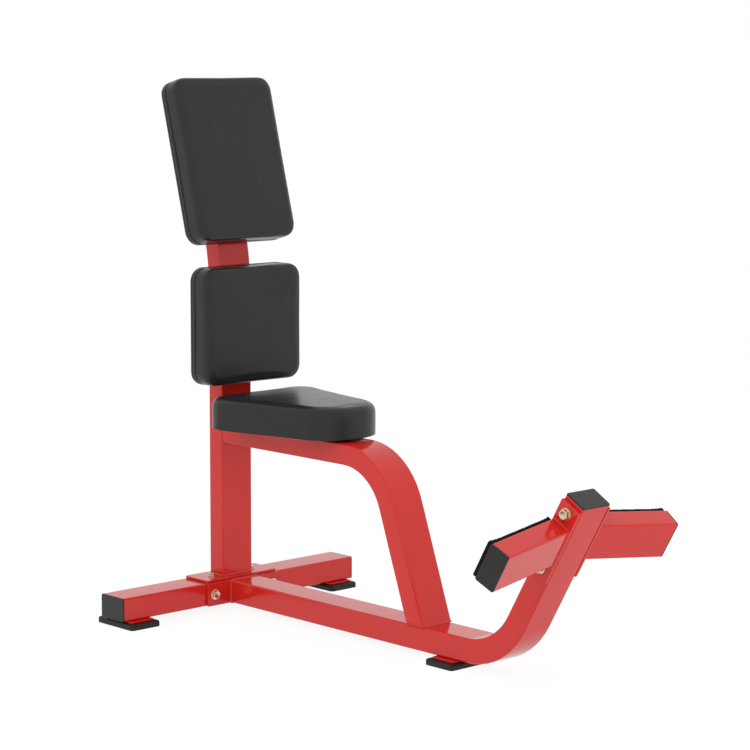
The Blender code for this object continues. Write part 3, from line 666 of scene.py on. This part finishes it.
def staples(name, back, settings):
    """A row of wire staples inside the rim of a board's back, each pressed into the cover."""
    bm = bmesh.new()
    walked = settings.staple_spacing / 2
    rim = [vert.co for vert in back.verts]
    for start, stop in zip(rim, rim[1:] + rim[:1]):
        length = (stop - start).length
        way = (stop - start) / length
        inwards = back.normal.cross(way)
        turn = Matrix((way, inwards, back.normal)).transposed().to_4x4()
        while walked < length:
            place = start + way * walked + inwards * settings.staple_inset + back.normal * STAPLE_RISE
            crown = bmesh.ops.create_cube(bm, size=1, matrix=(
                Matrix.Translation(place) @ turn @ Matrix.Diagonal((*STAPLE_CROWN, 1))))
            edges = list({edge for vert in crown["verts"] for edge in vert.link_edges})
            bmesh.ops.bevel(
                bm, geom=edges, offset=STAPLE_ROUNDING, offset_type="OFFSET", affect="EDGES",
                segments=2, profile=0.5, material=-1)
            walked += settings.staple_spacing
        walked -= length
    make_piece(name, bm, "zinc", sharp=50)


def dust_cloth_panel(name, bm, back, hem):
    """A thin cloth over the back of a board, made from the board's back face inside the hem."""
    margin = bmesh.ops.inset_individual(bm, faces=[back], thickness=hem, use_even_offset=True)["faces"]
    bmesh.ops.delete(bm, geom=margin, context="FACES")
    thickness = back.normal * DUST_CLOTH
    bmesh.ops.translate(bm, verts=list(bm.verts), vec=thickness * CLOTH_LIFT)
    outer = points_of(bmesh.ops.extrude_face_region(bm, geom=[back])["geom"])
    bmesh.ops.translate(bm, verts=outer, vec=thickness)
    make_piece(name, bm, "dust_cloth", sharp=30)


def hemmed_back(word, board, away, settings):
    """A row of staples and a dust cloth on the back of a board."""
    bm, back = back_face(board, away)
    staples(f"{word}_staples", back, settings)
    dust_cloth_panel(f"{word}_dust_cloth", bm, back, settings.hem)


def covered_board(word, board, away, settings):
    """A board in its wrapped vinyl, with its hem stapled behind."""
    low, high = span(board, away)
    bm = merged_mesh(board)
    seam(bm, away, (low + high) / 2, settings.seam_width, settings.seam_depth)
    make_piece(f"{word}_back_board_cover", bm, "vinyl", (board,), sharp=35)
    hemmed_back(f"{word}_back", board, away, settings)


class BENCH_OT_back_cushions(bpy.types.Operator):
    """Fills the two back cushions and covers them and their boards in vinyl"""
    bl_idname = "bench.back_cushions"
    bl_label = "Upholster the back pads"

    def execute(self, context):
        settings = context.scene.bench_upholstery
        foot = settings.back_roll, settings.back_crease, settings.back_tuck
        for word in ("lower", "upper"):
            cushion, board = f"{word}_pad_cushion", f"{word}_pad_board"
            away = facing(cushion)
            bm = upholstered(cushion, span(cushion, -away)[0], foot, settings)
            padded_piece(f"{word}_back_upholstery", bm, (cushion,))
            covered_board(word, board, away, settings)
        return {"FINISHED"}


class BENCH_OT_seat(bpy.types.Operator):
    """Fills the seat cushion, with one cover of vinyl pulled round it and its board"""
    bl_idname = "bench.seat"
    bl_label = "Upholster the seat"

    def execute(self, context):
        settings = context.scene.bench_upholstery
        up = -facing("seat_cushion")
        underside, board_level = span("seat_board", up)[0], span("seat_cushion", up)[0]
        foot = settings.seat_roll, 0, settings.seat_roll
        bm = upholstered("seat_cushion", underside, foot, settings)
        for height in SEAT_LINES:
            seam(bm, up, board_level + height, settings.seam_width, settings.seam_depth)
        padded_piece("seat_upholstery", bm, ("seat_cushion", "seat_board"))
        hemmed_back("seat", "seat_board", -up, settings)
        return {"FINISHED"}


# Fasteners
def turned_solid(bm, rows, matrix):
    """Stacks rings up an axis and closes both ends. A row is (half width, height, is a hexagon, trim)."""
    made = bmesh.ops.create_circle(bm, cap_ends=True, segments=RING_POINTS, radius=1)["verts"]
    solid = list(made)
    edges = list({edge for vert in made for edge in vert.link_edges})
    bearings = [atan2(vert.co.y, vert.co.x) for vert in made]
    for index, (half_width, height, is_hexagon, trim) in enumerate(rows):
        if index:
            grown = bmesh.ops.extrude_edge_only(bm, edges=edges)["geom"]
            made = points_of(grown)
            solid += made
            edges = [edge for edge in edges_of(grown) if all(vert in made for vert in edge.verts)]
            bearings = [atan2(vert.co.y, vert.co.x) for vert in made]
        for vert, bearing in zip(made, bearings):
            corner = 1 / cos((bearing + pi / 6) % (pi / 3) - pi / 6) if is_hexagon else 1
            reach = half_width * corner
            vert.co = (reach * cos(bearing), reach * sin(bearing), height - trim * (corner - 1) * half_width)
    bmesh.ops.holes_fill(bm, edges=[edge for edge in bm.edges if edge.is_boundary], sides=0)
    bmesh.ops.transform(bm, matrix=matrix, verts=solid)


def head_rows(flats, low, high, is_dished):
    """Rows of a hexagon head: washer face, flats, and the cone that trims its corners on top."""
    rows = [(low, row) for row in HEAD_FOOT] + [(high, row) for row in HEAD_TOP]
    if is_dished:
        rows += [(high, row) for row in HEAD_DISH]
    return [
        (share * flats, level + height * MM, is_hexagon, trim)
        for level, (share, height, is_hexagon, trim) in rows
    ]


def washer_rows(outer, thickness):
    """Rows of a pressed washer with a rolled upper edge."""
    roll = min(WASHER_ROLL * thickness, LARGEST_WASHER_ROLL)
    shoulder = WASHER_SHOULDER * roll
    return [
        (outer, 0, False, 0), (outer, thickness - roll, False, 0),
        (outer - shoulder, thickness - shoulder, False, 0), (outer - roll, thickness, False, 0),
    ]


def shank_rows(radius, tip):
    """Rows of a threaded shank from its pointed tip up to the head."""
    pitch, root = THREAD_PITCH * radius, THREAD_ROOT * radius
    rows = [(TIP_WIDTH * radius, tip, False, 0), (root, tip + TIP_HEIGHTS[0] * radius, False, 0)]
    level = tip + TIP_HEIGHTS[1] * radius
    while level < -pitch and len(rows) < THREAD_ROWS:
        rows += [(radius, level, False, 0), (root, level + pitch / 2, False, 0)]
        level += pitch
    return rows + [(root, 0, False, 0)]


def fastener(node_name, head_way, size, is_nut=False, solid_head=None):
    """A bolt or nut in the place of its solid, its head or outer face turned towards head_way."""
    flats, head, washer, washer_height, shank = (value * MM for value in size)
    head_way = Vector(head_way).normalized()
    low, high = span(node_name, head_way)
    if is_nut:
        bearing = low - high
        parts = [washer_rows(washer, washer_height), head_rows(flats, washer_height, high - low, False)]
    else:
        bearing = -(solid_head or size[1] + size[3]) * MM
        parts = [
            shank_rows(shank, low - high - bearing), washer_rows(washer, washer_height),
            head_rows(flats, washer_height, washer_height + head, True),
        ]
    bm = bmesh.new()
    for rows in parts:
        turned_solid(bm, rows, top_placement(node_name, head_way) @ Matrix.Translation((0, 0, bearing)))
    make_piece(f"{node_name}_detail", bm, "zinc", (node_name,), sharp=28)


class BENCH_OT_fasteners(bpy.types.Operator):
    """Puts turned, chamfered and threaded bolts, nuts and screws in their places"""
    bl_idname = "bench.fasteners"
    bl_label = "Fit the fasteners"

    def execute(self, context):
        for side in ("left", "right"):
            fastener(f"joint_bolt_{side}", (0, -1, 0), M10)
            fastener(f"joint_nut_{side}", (0, 1, 0), M10, is_nut=True)
            fastener(f"post_bolt_{side}", (0, 0, 1), M8)
        for level in ("lower", "upper"):
            fastener(f"peg_bolt_{level}", (-1, 0, 0), M12)
            fastener(f"peg_nut_{level}", (1, 0, 0), M12, is_nut=True)
        for name in NODES:
            if "seat_screw" in name:
                fastener(name, (0, 0, -1), LOW_M8, solid_head=M8_STACK)
            elif "pad_screw" in name:
                fastener(name, facing(f"{name.split('_')[0]}_pad_cushion"), M8)
        return {"FINISHED"}


# Welds
def weld_bead(name, node_name, away, size):
    """A painted fillet bead round the end of a tube, where it meets what it is welded to."""
    away = Vector(away)
    level = span(node_name, away)[0]
    bm = merged_mesh(node_name)
    near = score_line(bm, away, level + WELD_CUT)
    bm.normal_update()
    middle = sum((vert.co for vert in near), Vector()) / len(near)
    roots = {
        vert: (vert.co.copy(), (vert.normal - away * vert.normal.dot(away)).normalized())
        for vert in near if (vert.co - middle).dot(vert.normal) > 0
    }
    bmesh.ops.delete(bm, geom=[vert for vert in bm.verts if vert not in roots], context="VERTS")
    bmesh.ops.delete(bm, geom=list(bm.faces), context="FACES_ONLY")
    fresh, loop = set(bm.verts), list(bm.edges)
    for step, (out, along) in enumerate((*WELD_SECTION, WELD_SECTION[0])):
        for vert in fresh:
            foot, side = roots[vert]
            vert.co = foot + side * out * size + away * (along * size - WELD_CUT)
        if step == len(WELD_SECTION):
            break
        grown = bmesh.ops.extrude_edge_only(bm, edges=loop)["geom"]
        old, fresh = fresh, set(points_of(grown))
        loop = [edge for edge in edges_of(grown) if set(edge.verts) <= fresh]
        for vert in fresh:
            roots[vert] = next(roots[edge.other_vert(vert)] for edge in vert.link_edges
                               if edge.other_vert(vert) in old)
    bmesh.ops.remove_doubles(bm, verts=bm.verts, dist=ONE_POINT)
    make_piece(name, bm, "enamel", sharp=60)


class BENCH_OT_welds(bpy.types.Operator):
    """Runs painted weld beads round the tube ends"""
    bl_idname = "bench.welds"
    bl_label = "Lay the welds"

    def execute(self, context):
        size = context.scene.bench_finish.weld
        weld_bead("post_foot_weld", "back_post", (0, 0, 1), size)
        weld_bead("beam_end_weld", "base_beam", (0, -1, 0), size)
        weld_bead("seat_tube_foot_weld", "seat_tube", (0, 0, 1), size)
        weld_bead("seat_tube_rear_weld", "seat_tube", (0, -1, 0), size)
        weld_bead("peg_weld_left", "foot_peg_left", (1, 0, 0), size)
        weld_bead("peg_weld_right", "foot_peg_right", (-1, 0, 0), size)
        return {"FINISHED"}


# Grips
class BENCH_OT_grips(bpy.types.Operator):
    """Cuts tread grooves across the foam grips of the foot pegs"""
    bl_idname = "bench.grips"
    bl_label = "Tread the grips"

    def execute(self, context):
        settings = context.scene.bench_finish
        for side in ("left", "right"):
            node = f"peg_grip_{side}"
            up = facing(node)
            if up.z < 0:
                up = -up
            along = facing(f"foot_peg_cap_{side}")
            along = (along - up * along.dot(up)).normalized()
            low, high = span(node, along)
            top = span(node, up)[1]
            bm = merged_mesh(node)
            count = int((high - low - 2 * settings.tread) / settings.tread)
            for step in range(1, count + 1):
                level = low + (high - low) * step / (count + 1)
                for offset, share in GROOVE:
                    for vert in score_line(bm, along, level + offset * settings.tread):
                        if vert.co.dot(up) > top - GRIP_FACE:
                            vert.co -= up * settings.tread_depth * share
            make_piece(f"peg_tread_{side}", bm, "foam", (node,), sharp=30)
        return {"FINISHED"}


# Stage
def seen_directly(tree):
    """1 for what the camera sees, itself or in a gloss or through glass, and 0 for light on the object."""
    rays = add(tree, "ShaderNodeLightPath").outputs
    seen = add(tree, "ShaderNodeMath", {"operation": "MAXIMUM"}, {
        0: rays["Is Camera Ray"], 1: rays["Is Glossy Ray"]})
    return add(tree, "ShaderNodeMath", {"operation": "MAXIMUM"}, {
        0: seen.outputs[0], 1: rays["Is Transmission Ray"]}).outputs[0]


def white_surroundings(sky_light):
    """A world that is white to the camera and to gloss, and a gentler light on matt surfaces."""
    world = bpy.data.worlds.new("white_studio")
    world.use_nodes = True
    tree = world.node_tree
    tree.nodes.clear()
    strength = add(tree, "ShaderNodeMapRange", inputs={
        "Value": seen_directly(tree), "To Min": sky_light, "To Max": 1.0})
    light = add(tree, "ShaderNodeBackground", inputs={
        "Color": WHITE, "Strength": strength.outputs["Result"]})
    add(tree, "ShaderNodeOutputWorld", inputs={"Surface": light.outputs["Background"]})
    return world


def matt_white_floor():
    """Matt white paint that keeps a trace of the shadow where it is seen."""
    made = bpy.data.materials.new("matt_white_floor")
    made.use_nodes = True
    tree = made.node_tree
    tree.nodes.clear()
    share = add(tree, "ShaderNodeMath", {"operation": "MULTIPLY"}, {
        0: seen_directly(tree), 1: FLOOR_GLOW_SHARE})
    paint = add(tree, "ShaderNodeBsdfDiffuse", inputs={"Color": FLOOR_PAINT})
    glow = add(tree, "ShaderNodeEmission", inputs={"Color": WHITE, "Strength": FLOOR_GLOW})
    mixed = add(tree, "ShaderNodeMixShader", inputs={
        0: share.outputs[0], 1: paint.outputs[0], 2: glow.outputs[0]})
    add(tree, "ShaderNodeOutputMaterial", inputs={"Surface": mixed.outputs[0]})
    return made


def softbox(name, place, target, size, watts):
    """Square soft lamp aimed at a point, which gloss doesn't mirror."""
    data = bpy.data.lights.new(name, "AREA")
    data.shape = "SQUARE"
    data.size = size
    data.energy = watts
    lamp = bpy.data.objects.new(name, data)
    lamp.location = place
    lamp.rotation_euler = (Vector(target) - Vector(place)).to_track_quat("-Z", "Y").to_euler()
    lamp.visible_glossy = False
    bpy.context.scene.collection.objects.link(lamp)


class BENCH_OT_stage(bpy.types.Operator):
    """Builds the pale floor, the white surroundings, the softboxes and the camera"""
    bl_idname = "bench.stage"
    bl_label = "Set the stage"

    def execute(self, context):
        settings = context.scene.bench_stage
        context.scene.view_settings.view_transform = "Standard"
        context.scene.world = white_surroundings(settings.sky_light)

        bm = bmesh.new()
        bmesh.ops.create_circle(bm, cap_ends=True, segments=FLOOR_SIDES, radius=settings.floor_radius)
        mesh = bpy.data.meshes.new("studio_floor")
        bm.to_mesh(mesh)
        bm.free()
        mesh.materials.append(matt_white_floor())
        floor = bpy.data.objects.new("studio_floor", mesh)
        context.scene.collection.objects.link(floor)

        for lamp in SOFTBOXES:
            softbox(*lamp)

        camera_data = bpy.data.cameras.new("camera")
        camera_data.sensor_width = SENSOR_WIDTH
        camera_data.lens = settings.lens
        camera = bpy.data.objects.new("camera", camera_data)
        camera.location = settings.camera_place
        camera.rotation_euler = settings.camera_turn
        context.scene.collection.objects.link(camera)
        context.scene.camera = camera
        return {"FINISHED"}


class BENCH_PT_panel(bpy.types.Panel):
    """Lists the bench's settings and steps"""
    bl_label = "Utility bench"
    bl_idname = "BENCH_PT_panel"
    bl_space_type = "VIEW_3D"
    bl_region_type = "UI"
    bl_category = "Bench"

    def draw(self, context):
        for name, group in GROUPS.items():
            box = self.layout.box()
            for setting in group.__annotations__:
                box.prop(getattr(context.scene, name), setting)
        for step in STEPS:
            self.layout.operator(step.bl_idname)


GROUPS = {
    "bench_finish": BenchFinish,
    "bench_upholstery": BenchUpholstery,
    "bench_stage": BenchStage,
}
STEPS = (
    BENCH_OT_finish_frame,
    BENCH_OT_tubes,
    BENCH_OT_back_cushions,
    BENCH_OT_seat,
    BENCH_OT_fasteners,
    BENCH_OT_welds,
    BENCH_OT_grips,
    BENCH_OT_stage,
)


def register():
    for name, group in GROUPS.items():
        bpy.utils.register_class(group)
        setattr(bpy.types.Scene, name, bpy.props.PointerProperty(type=group))
    for item in (*STEPS, BENCH_PT_panel):
        bpy.utils.register_class(item)


def unregister():
    for item in reversed((*STEPS, BENCH_PT_panel)):
        bpy.utils.unregister_class(item)
    for name, group in reversed(GROUPS.items()):
        delattr(bpy.types.Scene, name)
        bpy.utils.unregister_class(group)


def main():
    register()
    bpy.ops.bench.finish_frame()
    bpy.ops.bench.tubes()
    bpy.ops.bench.back_cushions()
    bpy.ops.bench.seat()
    bpy.ops.bench.fasteners()
    bpy.ops.bench.welds()
    bpy.ops.bench.grips()
    bpy.ops.bench.stage()


if __name__ == "__main__":
    main()
